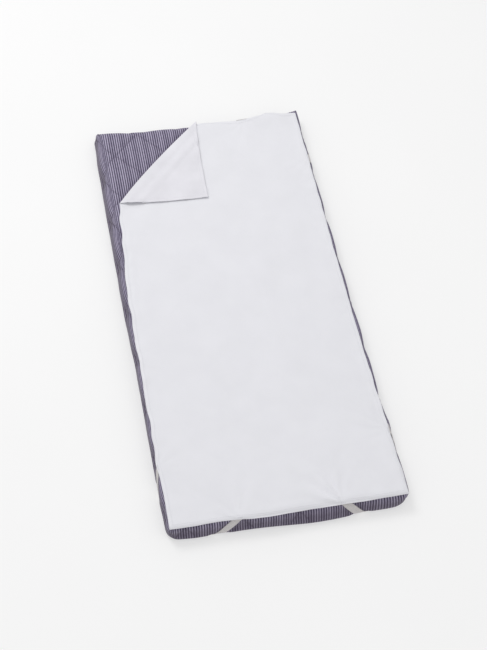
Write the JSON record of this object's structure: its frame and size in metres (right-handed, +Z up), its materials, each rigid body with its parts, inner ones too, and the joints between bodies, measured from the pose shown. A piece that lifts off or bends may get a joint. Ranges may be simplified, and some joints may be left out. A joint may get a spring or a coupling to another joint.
{
  "type": "quilted changing pad",
  "caption": "Flat quilted pad with a zipped striped cover and a hemmed protector sheet held by elastic corner straps, one corner turned back.",
  "frame": {"origin": "centre of the pad's underside, on the surface it lies on", "axes": "+X across the pad to the right, +Y along the pad towards the head end with the turned-back corner on its left, +Z up"},
  "size_m": [0.6054, 1.2026, 0.0592],
  "materials": {
    "foam": "matte",
    "wadding": "matte",
    "striped_ticking": "matte",
    "quilting_thread": "matte",
    "zip_tape": "matte",
    "zip_coil": "satin",
    "zip_metal": "satin",
    "white_cotton": "matte",
    "backing_film": "matte",
    "grey_elastic": "matte",
    "white_thread": "matte"
  },
  "bodies": {
    "pad": {"foam_core": "foam", "wadding_top": "wadding", "wadding_bottom": "wadding", "cover_top_panel": "striped_ticking", "cover_bottom_panel": "striped_ticking", "quilting_thread_top": "quilting_thread", "quilting_thread_bottom": "quilting_thread", "zip_tape_upper": "zip_tape", "zip_tape_lower": "zip_tape", "zip_coil_upper": "zip_coil", "zip_coil_lower": "zip_coil", "zip_end_stops": "zip_metal", "protector_sheet": "white_cotton", "protector_backing": "backing_film", "strap_tacks_main": "white_thread"},
    "corner_flap": {"flap_sheet": "white_cotton", "flap_backing": "backing_film", "rear_left_strap": "grey_elastic", "strap_tacks_flap": "white_thread"},
    "front_left_band": {"front_left_strap": "grey_elastic"},
    "front_right_band": {"front_right_strap": "grey_elastic"},
    "rear_right_band": {"rear_right_strap": "grey_elastic"},
    "zip_runner": {"zip_slider": "zip_metal"},
    "zip_tab": {"zip_pull": "zip_metal"}
  },
  "joints": [
    {"name": "corner_fold", "type": "hinge", "parent": "pad", "child": "corner_flap", "pos_m": [-0.295, 0.33, 0.0571], "axis": [-0.7071, -0.7071, 0], "range_deg": [0, 178]},
    {"name": "front_left_pull_off", "type": "slide", "parent": "pad", "child": "front_left_band", "axis": [-0.7071, -0.7071, 0], "range_m": [0, 0.08], "stiffness_N_per_m": 60},
    {"name": "front_right_pull_off", "type": "slide", "parent": "pad", "child": "front_right_band", "axis": [0.7071, -0.7071, 0], "range_m": [0, 0.08], "stiffness_N_per_m": 60},
    {"name": "rear_right_pull_off", "type": "slide", "parent": "pad", "child": "rear_right_band", "axis": [0.7071, 0.7071, 0], "range_m": [0, 0.08], "stiffness_N_per_m": 60},
    {"name": "zip_slide", "type": "slide", "parent": "pad", "child": "zip_runner", "axis": [0, -1, 0], "range_m": [0, 0.73]},
    {"name": "zip_pull_swing", "type": "hinge", "parent": "zip_runner", "child": "zip_tab", "pos_m": [0.3029, 0.366, 0.0295], "axis": [0, -1, 0], "range_deg": [0, 150]}
  ]
}
